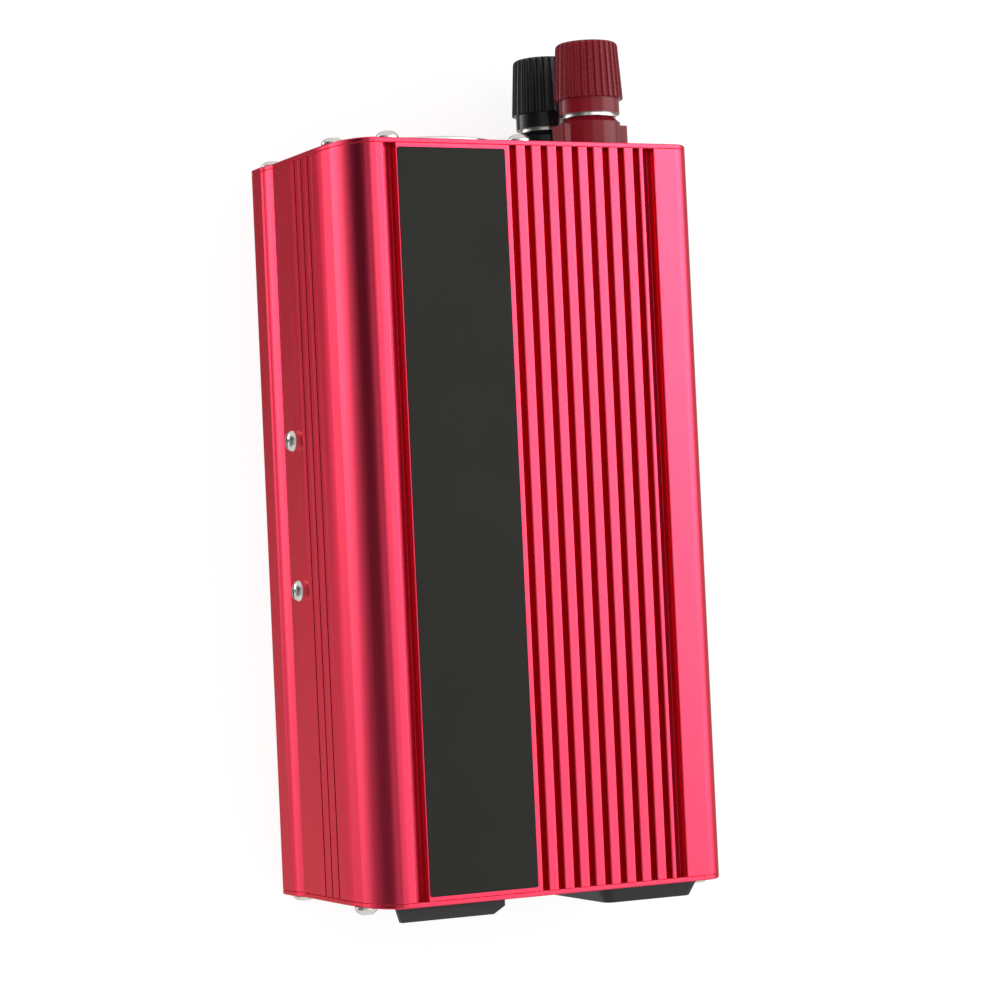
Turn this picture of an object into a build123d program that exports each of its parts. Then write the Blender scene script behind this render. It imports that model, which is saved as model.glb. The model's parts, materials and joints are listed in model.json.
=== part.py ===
from build123d import *
import math
import os

# Power inverter: battery terminals and a fan on one end, mains and USB outlets on the other.
# Frame: Z up, origin at the middle of the base's underside, +Y towards the terminal end.
# X runs across the case.  All sizes are millimetres.

# ------------------------------------------------------------------ case and end plates
overall_length = 190.0          # over the outside faces of both end plates
plate_thickness = 1.3
flange_half_width = 51.25       # base flange, the widest part of the case
flange_height = 6.2
band_inset = 1.0                # the side band stands in from the flange by this much
flare_height = 6.0              # sloping flank, then a hollow curve, from the flange up to the band
flare_slope = 16.5              # degrees the flank leans in from upright
shoulder_height = 14.0          # elliptical shoulder that turns each side over to the top
shoulder_width = 7.4
shoulder_start_angle = 9.0      # degrees round the ellipse where the side's straight lean meets it
lean_from_top = 21.2            # the side leans in from here up to the shoulder
lean_radius = 60.0
shoulder_set_in = 0.05          # the lean starts this much inside the side band
case_height = 60.5
side_wall = 2.25
top_wall = 5.0                  # from the fin tops to the ceiling inside
floor_thickness = 2.0
rail_width = 6.5                # solid side rail of the base, below the case wall
tongue_thickness = 1.6
tongue_height = 5.8             # rises above the flange, inside the case wall
tongue_clearance = 0.2
plate_edge_chamfer = 0.25

# ------------------------------------------------------------------ grooves of the case
groove_depth = 3.4
fin_groove_width = 1.5
fin_pitch = 4.42
fin_groove_count = 9
first_fin_from_side = 55.6      # right side band to the left side of the first groove
label_groove_from_side = 10.05  # left side band to the groove beside the label
label_side_groove_width = 3.1
far_groove_from_side = 17.3     # right side band to the left side of the last groove
far_side_groove_width = 2.85
fin_edge_radius = 0.45
side_groove_heights = (26.3, 30.7, 35.1)
side_groove_width = 0.8
side_groove_depth = 0.8
side_lip_height = 1.8           # below each groove the side curves in to its lower edge
side_lip_depth = 0.05

# ------------------------------------------------------------------ label
label_thickness = 0.2
label_from_groove = 0.55        # left edge of the label to the groove beside it
label_from_fins = 1.55          # right edge of the label to the first fin groove
label_length = 185.4
label_corner = 0.6

# ------------------------------------------------------------------ screws of the case
screw_hole_radius = 1.25        # thread-forming hole in the case's screw channels
screw_shank_radius = 1.25
plate_hole_radius = 1.6
channel_radius = 2.9
top_screw_from_side = 2.95
top_screw_from_top = 15.1
low_screw_from_side = 4.05
low_screw_z = 4.6
case_screw_length = 9.0
screw_head_radius = 2.9
screw_head_height = 2.0
fan_end_screw_head_height = 1.6 # the terminal end's screws have flatter heads
low_screw_head_height = 1.4     # the outlet end's lower screws have lower heads
screw_slot_width = 0.8
screw_slot_length = 3.2
screw_slot_depth = 1.0

# ------------------------------------------------------------------ main circuit board
board_thickness = 1.6
board_bottom = 8.0
board_side_gap = 0.4
board_front = -71.0             # outlet end
board_back = 78.0               # terminal end
standoff_radius = 3.0
standoff_from_edge = 6.3
standoff_front_y = -64.0
standoff_back_y = 52.0
board_screw_radius = 1.4
board_screw_length = 4.0

# ------------------------------------------------------------------ power transistors
transistor_width = 10.0
transistor_height = 15.6
transistor_thickness = 4.6
transistor_bottom = 13.2
transistor_middle_y = 3.25
transistor_inner_offset = 7.0
transistor_outer_offset = 31.5
leg_width = 0.9
leg_pitch = 2.54
leg_offset = 2.7                # legs stand this far in from the metal back
pad_thickness = 0.3
pad_margin = 1.2
clamp_bar_thickness = 3.0
clamp_bar_height = 10.0
clamp_bar_length = 77.0
side_screw_half_pitch = 19.25
side_screw_z = 18.9
side_screw_head_radius = 2.8

# ------------------------------------------------------------------ transformers
core_width = 40.0
core_height = 34.0
core_depth = 14.0
core_yoke = 6.0
core_leg_width = 12.0
transformer_pitch = 33.0
first_transformer_y = 0.0
bobbin_wall = 1.0
bobbin_base = 2.0
bobbin_gap = 0.2
winding_thickness = 5.8

# ------------------------------------------------------------------ other parts on the board
input_capacitor_radius = 7.0
input_capacitor_height = 25.0
input_capacitor_from_edge = 9.3
input_capacitor_from_fuse = 0.7
input_capacitor_y = 66.5
input_capacitor_count = 3
bus_capacitor_radius = 11.0
bus_capacitor_height = 40.0
bus_capacitor_x = 18.0
bus_capacitor_y = -42.0
choke_x = -16.0
choke_y = -44.0
choke_inner_radius = 6.0
choke_outer_radius = 12.5
choke_height = 10.0
choke_wire = 2.0
choke_winding_angle = 140.0
fuse_length = 19.0
fuse_width = 5.0
fuse_height = 12.0
fuse_blade_drop = 5.0
fuse_blade_width = 5.2
fuse_blade_thickness = 0.7
fuse_holder_height = 8.0
fuse_holder_wall = 1.4
fuse_from_standoff = 7.5
fuse_pitch = 8.4
fuse_count = 3
fuse_y = 58.5
driver_board_half_width = 28.0
driver_board_height = 28.0
driver_board_y = -22.0
chip_length = 19.0
chip_height = 6.4
chip_thickness = 3.3
chip_x = 13.0
chip_lift = 10.0
buzzer_radius = 6.0
buzzer_height = 8.5
buzzer_x = 2.0
buzzer_y = -59.0
buzzer_hole_radius = 1.2

# ------------------------------------------------------------------ fan
fan_size = 45.0
fan_depth = 10.0
fan_x = -15.3
fan_z = case_height / 2
fan_hole_half_pitch = 18.5
fan_corner_radius = 3.5
fan_bore_radius = 21.5
fan_screw_radius = 1.5
fan_screw_hole = 1.7
fan_motor_radius = 10.0
fan_motor_base = 1.5
fan_arm_width = 2.4
fan_arm_count = 3
fan_sleeve_radius = 3.0
fan_shaft_radius = 1.0
fan_hub_radius = 10.0
fan_hub_wall = 1.2
fan_tip_radius = 20.8
fan_blade_count = 7
fan_blade_chord = 8.0
fan_blade_thickness = 1.0
fan_blade_angle = 42.0
fan_front_gap = 0.8             # rotor face to the end plate
fan_back_gap = 0.6              # rotor rim to the motor base
running_clearance = 0.05
plate_fan_radius = 20.5
guard_wire_radius = 0.7
guard_eye_wire_radius = 0.6
guard_arm_radius = 0.5
guard_ring_radii = (7.5, 13.0, 18.5)
guard_eye_radius = 2.2
guard_arm_lift = 0.7            # middle of the cross wires above the end plate
guard_ring_underside = 0.63     # the rings are pressed a little flat where they are welded
guard_weld = 0.1                # rings and cross wires melt into each other by this much
guard_arm_start = 6.3           # the cross wires run just inside the smallest ring
fan_nut_height = 2.4
fan_nut_half_flats = 2.75

# ------------------------------------------------------------------ battery terminals
post_from_side = 23.05
upper_post_below_ceiling = 12.75
lower_post_above_board = 8.15
stud_radius = 3.0
stud_reach = 21.0               # beyond the end plate
stud_tail = 14.0                # behind the end plate's inner face
thread_clearance = 0.05
thread_pitch = 1.0
post_base_radius = 8.0
post_base_height = 8.9
post_base_chamfer_height = 1.5
post_base_top_radius = 6.4
post_wing_half_span = 9.6
post_wing_depth = 6.4
post_wing_height = 6.9
post_wing_fillet = 0.6
clamp_washer_radius = 7.0
clamp_washer_thickness = 0.9
clamp_washer_hole = 3.2
knob_collar_radius = 7.95
knob_collar_height = 3.9
knob_bottom_radius = 9.0
knob_top_radius = 8.1
knob_grip_height = 14.9
knob_top_round = 1.2
knob_flute_count = 30
knob_flute_radius = 0.62
knob_dish_radius = 5.0
knob_dish_depth = 0.5
knob_insert_radius = 4.6
knob_insert_length = 11.5
knob_insert_setback = 0.6
knob_cavity_extra = 3.0
bush_neck_radius = 5.0
bush_flange_radius = 8.6
bush_flange_thickness = 2.5
bush_hole_clearance = 0.1
busbar_thickness = 1.2
busbar_eye_radius = 6.5
busbar_width = 8.0
busbar_foot_end = 70.5
positive_bar_from_edge = 6.2
stud_nut_half_flats = 5.0
stud_nut_height = 5.0

# ------------------------------------------------------------------ outlet modules
module_from_side = 21.95        # side band to each module's middle
module_middle_z = case_height / 2
module_proud = 4.2              # stands out from the end plate
module_face_width = 24.8
module_face_height = 47.1
module_foot_width = 29.6
module_foot_height = 50.0
module_foot_corner = 3.2
module_face_corner = 2.2
module_neck_width = 24.0
module_neck_height = 44.0
module_neck_corner = 1.5
neck_clearance = 0.15
module_face_wall = 3.0
snap_width = 8.0
snap_reach = 0.9
snap_length = 2.0

# ------------------------------------------------------------------ mains socket
socket_depth = 19.7             # body behind the end plate's inner face
socket_wall = 1.6
socket_pin_x = 3.8              # the pin holes' line, from the module's middle
round_pin_half_pitch = 9.5
round_pin_hole_radius = 2.6
flat_pin_half_pitch = 6.4
flat_pin_hole_length = 6.8
flat_pin_hole_width = 2.0
slanted_pin_angle = 30.0
earth_pin_offset = 10.3
contact_leaf_thickness = 0.5
contact_leaf_height = 6.0
contact_gap = 1.4
contact_base = 1.0
contact_face_gap = 0.6
contact_tab_length = 4.0
contact_tab_width = 4.8
contact_tab_thickness = 0.8
output_lead_radius = 1.3
output_lead_bend = 4.0
output_lead_spacing = 4.5
output_lead_first_y = -63.0

# ------------------------------------------------------------------ USB module
usb_shell_width = 13.1
usb_shell_thickness = 5.7
usb_shell_wall = 0.35
usb_shell_length = 15.2
usb_port_half_pitch = 9.6
usb_flange_proud = 0.8          # flat flange of the USB module outside the end plate
usb_flange_bevel = 0.4
hood_proud = 4.0                # hood over the two ports
hood_thickness = 1.8
hood_from_top = 0.6             # below the top edge of the flange
hood_inner_slant = 3.2          # the end towards the middle is cut off at a slant
hood_outer_slant = 1.2
hood_rim = 2.1                  # straight part of the inner end, before its slant
usb_hole_clearance = 0.15
usb_setback = 0.3
usb_tongue_thickness = 1.9
usb_tongue_width = 11.2
usb_tongue_setback = 1.0
usb_rear_block = 4.0
usb_neck_depth = 6.0            # neck behind the end plate's inner face
usb_board_thickness = 1.6
usb_board_height = 40.0
usb_board_length = 14.0
usb_lead_radius = 1.5
usb_lead_bend = 3.0
usb_lead_z = 16.0
usb_lead_reach = 6.0
usb_lead_foot_y = -66.0

# ------------------------------------------------------------------ power switch
switch_x = 0.0
switch_z = 22.0
switch_bezel_width = 15.0
switch_bezel_height = 21.0
switch_bezel_proud = 1.5
switch_bezel_corner = 1.2
switch_body_width = 12.9
switch_body_height = 19.2
switch_body_depth = 13.0        # behind the end plate's inner face
switch_well_width = 11.2
switch_well_height = 18.0
switch_well_depth = 6.0         # behind the end plate's inner face
rocker_width = 10.6
rocker_half_length = 8.0
rocker_middle_rise = 2.0
rocker_end_rise = 3.2
rocker_back = 3.0
rocker_back_half_length = 4.5
rocker_tilt = 10.0
rocker_axle_radius = 1.2
rocker_axle_length = 0.6
rocker_pivot_y = -93.9
switch_tab_pitch = 5.0
switch_tab_width = 4.0
switch_tab_thickness = 0.8
switch_tab_length = 6.0
switch_lead_radius = 0.9
switch_lead_bend = 2.2
switch_lead_foot_y = -67.5

# ------------------------------------------------------------------ indicator lamps
lamp_half_pitch = 5.0
lamp_z = 42.0
lamp_radius = 1.5
lamp_flange_radius = 1.9
lamp_proud = 1.3
lamp_body_length = 4.6
lamp_flange_length = 1.0
lamp_hole_clearance = 0.1
lamp_wire_radius = 0.3
lamp_wire_half_pitch = 1.0
lamp_wire_bend = 2.0
lamp_wire_foot_y = -69.0

# ------------------------------------------------------------------ fan and terminal wiring
fan_lead_radius = 1.1
fan_lead_bend = 3.0
fan_lead_x = -24.0
fan_lead_foot_y = 76.0

# ------------------------------------------------------------------ places worked out from the sizes
half_length = overall_length / 2
inner_end = half_length - plate_thickness
band_half_width = flange_half_width - band_inset
wall_inside = band_half_width - side_wall
ceiling = case_height - top_wall
tongue_outside = wall_inside - tongue_clearance
tongue_inside = tongue_outside - tongue_thickness
rail_inside = flange_half_width - rail_width
board_top = board_bottom + board_thickness
lean_start = case_height - lean_from_top
lean_angle = math.atan(shoulder_width / shoulder_height * math.tan(math.radians(shoulder_start_angle)))
first_fin_groove = band_half_width - first_fin_from_side
far_side_groove = band_half_width - far_groove_from_side
label_side_groove = label_groove_from_side - band_half_width
label_groove_outside = abs(label_side_groove)
label_left = label_side_groove + label_side_groove_width + label_from_groove
label_right = first_fin_groove - label_from_fins
top_screw_x = band_half_width - top_screw_from_side
top_screw_z = case_height - top_screw_from_top
low_screw_x = flange_half_width - low_screw_from_side
board_half_width = tongue_inside - board_side_gap
standoff_x = board_half_width - standoff_from_edge
fuse_first_x = standoff_x - fuse_from_standoff - (fuse_count - 1) * fuse_pitch
input_capacitor_first_x = input_capacitor_from_edge - board_half_width
input_capacitor_last_x = (fuse_first_x - fuse_width / 2 - fuse_holder_wall - input_capacitor_from_fuse
                          - input_capacitor_radius)
input_capacitor_pitch = (input_capacitor_last_x - input_capacitor_first_x) / (input_capacitor_count - 1)
post_x = band_half_width - post_from_side
post_heights = (ceiling - upper_post_below_ceiling, board_top + lower_post_above_board)
positive_bar_x = board_half_width - positive_bar_from_edge
module_middle_x = band_half_width - module_from_side
module_face_y = -half_length - module_proud
cut_margin = 1.0


# ================================================================== helpers
def prism_x(outline, x_low, x_high):
    """Solid of an outline drawn in Y and Z, between two planes across X."""
    plane = Plane(origin=(x_low, 0, 0), x_dir=(0, 1, 0), z_dir=(1, 0, 0))
    return extrude(plane * outline, amount=x_high - x_low)


def prism_y(outline, y_low, y_high):
    """Solid of an outline drawn in X and Z, between two planes across Y."""
    plane = Plane(origin=(0, y_high, 0), x_dir=(1, 0, 0), z_dir=(0, -1, 0))
    return extrude(plane * outline, amount=y_high - y_low)


def prism_z(outline, z_low, z_high):
    """Solid of an outline drawn in X and Y, between two heights."""
    return extrude(Pos(0, 0, z_low) * outline, amount=z_high - z_low)


def rectangle(x_low, x_high, y_low, y_high):
    """Flat rectangle between two limits each way."""
    middle = Pos((x_low + x_high) / 2, (y_low + y_high) / 2)
    return middle * Rectangle(x_high - x_low, y_high - y_low)


def block(x_low, x_high, y_low, y_high, z_low, z_high):
    """Box between two limits each way."""
    return prism_z(rectangle(x_low, x_high, y_low, y_high), z_low, z_high)


def rod_x(radius, y, z, x_low, x_high):
    return prism_x(Pos(y, z) * Circle(radius), x_low, x_high)


def rod_y(radius, x, z, y_low, y_high):
    return prism_y(Pos(x, z) * Circle(radius), y_low, y_high)


def rod_z(radius, x, y, z_low, z_high):
    return prism_z(Pos(x, y) * Circle(radius), z_low, z_high)


def turned_y(points, x, z):
    """Turned part on an axis along Y, from (radius, y) points."""
    profile = make_face(Polyline(*points, close=True))
    return Pos(x, 0, z) * revolve(profile, Axis.Y)


def mirrored(shape):
    """The same piece on the other side of the case's middle."""
    return mirror(shape, about=Plane.YZ)


def group(pieces):
    """Separate solids that share one node."""
    return Compound(children=[solid for piece in pieces for solid in piece.solids()])


def lead(points, radius, bend):
    """Round wire along straight runs joined by arcs of one radius."""
    path = FilletPolyline(*points, radius=bend)
    section = Plane(origin=path @ 0, z_dir=path % 0) * Circle(radius)
    return sweep(section, path=path)


def hexagon_nut(half_flats, bore, height):
    """Nut lying along Z with its underside at zero."""
    corner_radius = half_flats / math.cos(math.pi / 6)
    return prism_z(RegularPolygon(corner_radius, 6) - Circle(bore), 0, height)


def pan_screw(head_radius, head_height, shank_radius, length):
    """Cross-recessed screw: head above zero, shank below it."""
    rim = 0.35 * head_height
    outline = Polyline((0, head_height), (0, 0), (head_radius, 0), (head_radius, rim))
    outline += ThreePointArc((head_radius, rim), (0.74 * head_radius, 0.84 * head_height), (0, head_height))
    head = revolve(make_face(outline), Axis.Y)
    head = Rot(90, 0, 0) * head
    slot = block(-screw_slot_length / 2, screw_slot_length / 2, -screw_slot_width / 2, screw_slot_width / 2,
                 head_height - screw_slot_depth, head_height + cut_margin)
    head -= slot
    head -= Rot(0, 0, 90) * slot
    return head + rod_z(shank_radius, 0, 0, -length, 0)


def placed(shape, origin, direction):
    """A piece made along Z, set at a point and turned to a direction."""
    return Plane(origin=origin, z_dir=direction) * shape


def both_modules_x(side):
    """Middle of the socket (+1) or of the USB module (-1)."""
    return side * module_middle_x


# ================================================================== case
def arch(half_width, bottom, top):
    """Flat-sided outline that leans in near the top and turns over in elliptical shoulders."""
    foot = (half_width - shoulder_set_in, top - lean_from_top)
    bend = (foot[0] - lean_radius * (1 - math.cos(lean_angle)), foot[1] + lean_radius * math.sin(lean_angle))
    turn = math.radians(shoulder_start_angle)
    join_z = top - shoulder_height * (1 - math.sin(turn))
    join = (bend[0] - (join_z - bend[1]) * math.tan(lean_angle), join_z)
    turn_x = join[0] - shoulder_width * math.cos(turn)
    right = Polyline((half_width, bottom), (half_width, foot[1]), foot)
    right += RadiusArc(foot, bend, -lean_radius) + Line(bend, join)
    right += EllipticalCenterArc((turn_x, top - shoulder_height), shoulder_width, shoulder_height,
                                 start_angle=shoulder_start_angle, arc_size=90 - shoulder_start_angle)
    left = mirror(right, about=Plane.YZ)
    caps = Line((-turn_x, top), (turn_x, top)) + Line((-half_width, bottom), (half_width, bottom))
    return make_face(right + left + caps)


def flare():
    """Sloping flank and hollow curve from the flange's edge up to the right side band."""
    band_start = flange_height + flare_height
    slope = math.radians(flare_slope)
    # the arc leaves the band upright and meets the flank at its slope
    reach = math.tan(slope / 2)
    corner = flange_height + band_inset / math.tan(slope)
    tangent = band_start - corner
    flank_top = (band_half_width + tangent * math.sin(slope), corner - tangent * math.cos(slope))
    curve = RadiusArc((band_half_width, band_start), flank_top, tangent / reach)
    sides = Polyline(flank_top, (flange_half_width, flange_height), (band_half_width, flange_height),
                     (band_half_width, band_start))
    return make_face(curve + sides)


def upper_outline():
    """Outside of the case above the base flange."""
    return arch(band_half_width, flange_height, case_height) + flare() + mirrored(flare())


def fin_grooves():
    """Grooves in the top face: the fins and one wide groove on each side."""
    spans = [(label_side_groove, label_side_groove_width), (far_side_groove, far_side_groove_width)]
    for count in range(fin_groove_count):
        spans.append((first_fin_groove + count * fin_pitch, fin_groove_width))
    low = case_height - groove_depth
    return [rectangle(left, left + width, low, case_height + cut_margin) for left, width in spans]


def side_lip(depth, height):
    """What is cut away where the right side curves in towards a height."""
    radius = (side_lip_height ** 2 + depth ** 2) / (2 * depth)
    foot = (band_half_width, height - side_lip_height)
    edge = (band_half_width - depth, height)
    curve = RadiusArc(foot, edge, radius)
    return make_face(curve + Polyline(edge, (band_half_width + cut_margin, height),
                                      (band_half_width + cut_margin, height - side_lip_height), foot))


def side_grooves():
    """Fine grooves along each side, with the edge below each one curved in, and the step under the shoulder."""
    cuts = [side_lip(shoulder_set_in, lean_start)]
    for height in side_groove_heights:
        cuts.append(side_lip(side_lip_depth, height))
        cuts.append(rectangle(band_half_width - side_groove_depth, band_half_width + cut_margin,
                              height, height + side_groove_width))
    return cuts + [mirrored(cut) for cut in cuts]


def upper_case():
    section = upper_outline()
    for groove in fin_grooves() + side_grooves():
        section -= groove
    fin_corners = [v for v in section.vertices()
                   if abs(v.Y - case_height) < 1e-6 and abs(v.X) < label_groove_outside + 1e-6]
    section = fillet(fin_corners, fin_edge_radius)
    inside = arch(wall_inside, flange_height - cut_margin, ceiling)
    for side in (-1, 1):
        inside -= Pos(side * top_screw_x, top_screw_z) * Circle(channel_radius)
    section -= inside
    for side in (-1, 1):
        section -= Pos(side * top_screw_x, top_screw_z) * Circle(screw_hole_radius)
    case = prism_y(section, -inner_end, inner_end)
    for y in side_screw_places():
        case -= rod_x(plate_hole_radius, y, side_screw_z, -flange_half_width, flange_half_width)
    return case


def base_shell():
    section = rectangle(-flange_half_width, flange_half_width, 0, floor_thickness)
    rail = rectangle(rail_inside, flange_half_width, 0, flange_height)
    tongue = rectangle(tongue_inside, tongue_outside, 0, flange_height + tongue_height)
    section += rail + mirrored(rail) + tongue + mirrored(tongue)
    for side in (-1, 1):
        section -= Pos(side * low_screw_x, low_screw_z) * Circle(screw_hole_radius)
    return prism_y(section, -inner_end, inner_end)


def plate_blank(y_low, y_high, outer_face):
    """End plate with the case's outline and its four screw holes."""
    outline = upper_outline() + rectangle(-flange_half_width, flange_half_width, 0, flange_height)
    blank = prism_y(outline, y_low, y_high)
    for face in (outer_face, -1 - outer_face):
        rim = blank.faces().filter_by(Axis.Y).sort_by(Axis.Y)[face].outer_wire().edges()
        blank = chamfer(rim, plate_edge_chamfer)
    for x, z in case_screw_places():
        blank -= rod_y(plate_hole_radius, x, z, y_low - cut_margin, y_high + cut_margin)
    return blank


def case_screw_places():
    return [(-top_screw_x, top_screw_z), (top_screw_x, top_screw_z),
            (-low_screw_x, low_screw_z), (low_screw_x, low_screw_z)]


def side_screw_places():
    return [transistor_middle_y - side_screw_half_pitch, transistor_middle_y + side_screw_half_pitch]


def standoff_places():
    return [(side * standoff_x, y) for side in (-1, 1) for y in (standoff_front_y, standoff_back_y)]


def fan_corner_places():
    steps = (-fan_hole_half_pitch, fan_hole_half_pitch)
    return [(fan_x + dx, fan_z + dz) for dx in steps for dz in steps]


def fan_end_plate():
    plate = plate_blank(inner_end, half_length, -1)
    low = inner_end - cut_margin
    high = half_length + cut_margin
    plate -= rod_y(plate_fan_radius, fan_x, fan_z, low, high)
    for x, z in fan_corner_places():
        plate -= rod_y(fan_screw_hole, x, z, low, high)
    for z in post_heights:
        plate -= rod_y(bush_neck_radius + bush_hole_clearance, post_x, z, low, high)
    return plate


def socket_end_plate():
    plate = plate_blank(-half_length, -inner_end, 0)
    low = -half_length - cut_margin
    high = cut_margin - inner_end
    for side in (-1, 1):
        neck = RectangleRounded(module_neck_width + 2 * neck_clearance,
                                module_neck_height + 2 * neck_clearance, module_neck_corner)
        plate -= prism_y(Pos(both_modules_x(side), module_middle_z) * neck, low, high)
    body = Rectangle(switch_body_width + 2 * neck_clearance, switch_body_height + 2 * neck_clearance)
    plate -= prism_y(Pos(switch_x, switch_z) * body, low, high)
    for side in (-1, 1):
        plate -= rod_y(lamp_radius + lamp_hole_clearance, side * lamp_half_pitch, lamp_z, low, high)
    return plate


def end_screws(y, direction, upper_head_height, lower_head_height):
    screws = []
    for x, z in case_screw_places():
        head_height = upper_head_height if z > low_screw_z else lower_head_height
        screw = pan_screw(screw_head_radius, head_height, screw_shank_radius, case_screw_length)
        screws.append(placed(screw, (x, y, z), (0, direction, 0)))
    return group(screws)


def label_plate():
    middle_x = (label_left + label_right) / 2
    outline = Pos(middle_x, 0) * RectangleRounded(label_right - label_left, label_length, label_corner)
    return prism_z(outline, case_height, case_height + label_thickness)


# ================================================================== power transistors
def transistor_places():
    offsets = (-transistor_outer_offset, -transistor_inner_offset,
               transistor_inner_offset, transistor_outer_offset)
    return [transistor_middle_y + offset for offset in offsets]


def power_transistors():
    """A row along each side wall, metal backs towards the case."""
    back = wall_inside - pad_thickness
    front = back - transistor_thickness
    leg_x = back - leg_offset
    pieces = []
    for y in transistor_places():
        body = block(front, back, y - transistor_width / 2, y + transistor_width / 2,
                     transistor_bottom, transistor_bottom + transistor_height)
        for step in (-1, 0, 1):
            middle = y + step * leg_pitch
            body += block(leg_x - leg_width / 2, leg_x + leg_width / 2, middle - leg_width / 2,
                          middle + leg_width / 2, board_top, transistor_bottom)
        pieces += [body, mirrored(body)]
    return group(pieces)


def insulating_pads():
    low_y = transistor_middle_y - clamp_bar_length / 2
    pad = block(wall_inside - pad_thickness, wall_inside, low_y, low_y + clamp_bar_length,
                transistor_bottom, transistor_bottom + transistor_height + pad_margin)
    for y in side_screw_places():
        pad -= rod_x(plate_hole_radius, y, side_screw_z, 0, flange_half_width)
    return group([pad, mirrored(pad)])


def clamp_bars():
    """Bars that the side screws draw against the transistors."""
    high_x = wall_inside - pad_thickness - transistor_thickness
    low_y = transistor_middle_y - clamp_bar_length / 2
    bar = block(high_x - clamp_bar_thickness, high_x, low_y, low_y + clamp_bar_length,
                side_screw_z - clamp_bar_height / 2, side_screw_z + clamp_bar_height / 2)
    for y in side_screw_places():
        bar -= rod_x(screw_shank_radius, y, side_screw_z, 0, flange_half_width)
    return group([bar, mirrored(bar)])


def clamp_screws():
    length = side_wall + pad_thickness + transistor_thickness + clamp_bar_thickness
    screw = pan_screw(side_screw_head_radius, screw_head_height, screw_shank_radius, length)
    return group([placed(screw, (side * band_half_width, y, side_screw_z), (side, 0, 0))
                  for side in (-1, 1) for y in side_screw_places()])


# ================================================================== main board and what stands on it
def main_circuit_board():
    board = block(-board_half_width, board_half_width, board_front, board_back, board_bottom, board_top)
    for x, y in standoff_places():
        board -= rod_z(plate_hole_radius, x, y, board_bottom - cut_margin, board_top + cut_margin)
    return board


def board_standoffs():
    pieces = []
    for x, y in standoff_places():
        post = rod_z(standoff_radius, x, y, floor_thickness, board_bottom)
        pieces.append(post - rod_z(board_screw_radius, x, y, floor_thickness, board_bottom))
    return group(pieces)


def board_screws():
    screw = pan_screw(screw_head_radius, screw_head_height, board_screw_radius,
                      board_screw_length + board_thickness)
    return group([placed(screw, (x, y, board_top), (0, 0, 1)) for x, y in standoff_places()])


def transformer_places():
    return [first_transformer_y + step * transformer_pitch for step in (0, 1)]


def core_low():
    return board_top + bobbin_base


def transformer_cores():
    """Ferrite cores: a closed frame with a middle leg."""
    window = (core_width - core_leg_width - 2 * core_yoke) / 2
    low = core_low()
    pieces = []
    for y in transformer_places():
        core = block(-core_width / 2, core_width / 2, y - core_depth / 2, y + core_depth / 2,
                     low, low + core_height)
        for side in (-1, 1):
            middle = side * (core_leg_width + window) / 2
            core -= block(middle - window / 2, middle + window / 2, y - core_depth, y + core_depth,
                          low + core_yoke, low + core_height - core_yoke)
        pieces.append(core)
    return group(pieces)


def bobbin_tube(y, inset, z_low, z_high):
    """Tube around a core's middle leg, its outside this far out from the leg."""
    half_x = core_leg_width / 2 + inset
    half_y = core_depth / 2 + inset
    return block(-half_x, half_x, y - half_y, y + half_y, z_low, z_high)


def transformer_bobbins():
    """Moulded spools on the middle legs, and the bases that carry the cores on the board."""
    low = core_low() + core_yoke + bobbin_gap
    high = core_low() + core_height - core_yoke - bobbin_gap
    reach = bobbin_gap + bobbin_wall
    spool = reach + winding_thickness
    pieces = []
    for y in transformer_places():
        bobbin = bobbin_tube(y, reach, low, high)
        bobbin += bobbin_tube(y, spool, low, low + bobbin_wall)
        bobbin += bobbin_tube(y, spool, high - bobbin_wall, high)
        bobbin -= bobbin_tube(y, bobbin_gap, low - cut_margin, high + cut_margin)
        foot = block(-core_width / 2, core_width / 2, y - core_depth, y + core_depth, board_top, core_low())
        pieces += [bobbin, foot]
    return group(pieces)


def transformer_windings():
    low = core_low() + core_yoke + bobbin_gap + bobbin_wall
    high = core_low() + core_height - core_yoke - bobbin_gap - bobbin_wall
    reach = bobbin_gap + bobbin_wall
    pieces = []
    for y in transformer_places():
        coil = bobbin_tube(y, reach + winding_thickness, low, high)
        coil = fillet(coil.edges().filter_by(Axis.Z), winding_thickness / 2)
        pieces.append(coil - bobbin_tube(y, reach, low, high))
    return group(pieces)


def can_capacitor(radius, height):
    """Can standing at zero, with the rolled groove near its foot."""
    groove = radius / 12
    points = [(0, 0), (radius, 0), (radius, height / 10), (radius - groove, height / 10 + groove),
              (radius, height / 10 + 2 * groove), (radius, height - groove), (radius - groove, height),
              (0, height)]
    return Rot(90, 0, 0) * revolve(make_face(Polyline(*points, close=True)), Axis.Y)


def input_capacitors():
    can = can_capacitor(input_capacitor_radius, input_capacitor_height)
    pieces = []
    for count in range(input_capacitor_count):
        x = input_capacitor_first_x + count * input_capacitor_pitch
        pieces.append(Pos(x, input_capacitor_y, board_top) * can)
    return group(pieces)


def bus_capacitor():
    return Pos(bus_capacitor_x, bus_capacitor_y, board_top) * can_capacitor(
        bus_capacitor_radius, bus_capacitor_height)


def choke_ring(inset, angle):
    """Ring section of the choke, grown by the wire's thickness, turned through an angle."""
    low = board_top + choke_wire - inset
    section = Plane.XZ * rectangle(choke_inner_radius - inset, choke_outer_radius + inset,
                                   low, low + choke_height + 2 * inset)
    return revolve(section, Axis.Z, revolution_arc=angle)


def choke_core():
    return Pos(choke_x, choke_y, 0) * choke_ring(0, 360)


def choke_windings():
    pieces = []
    for start in (0, 180):
        sleeve = choke_ring(choke_wire, choke_winding_angle) - choke_ring(0, 360)
        pieces.append(Pos(choke_x, choke_y, 0) * Rot(0, 0, start) * sleeve)
    return group(pieces)


def fuse_places():
    return [fuse_first_x + count * fuse_pitch for count in range(fuse_count)]


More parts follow.
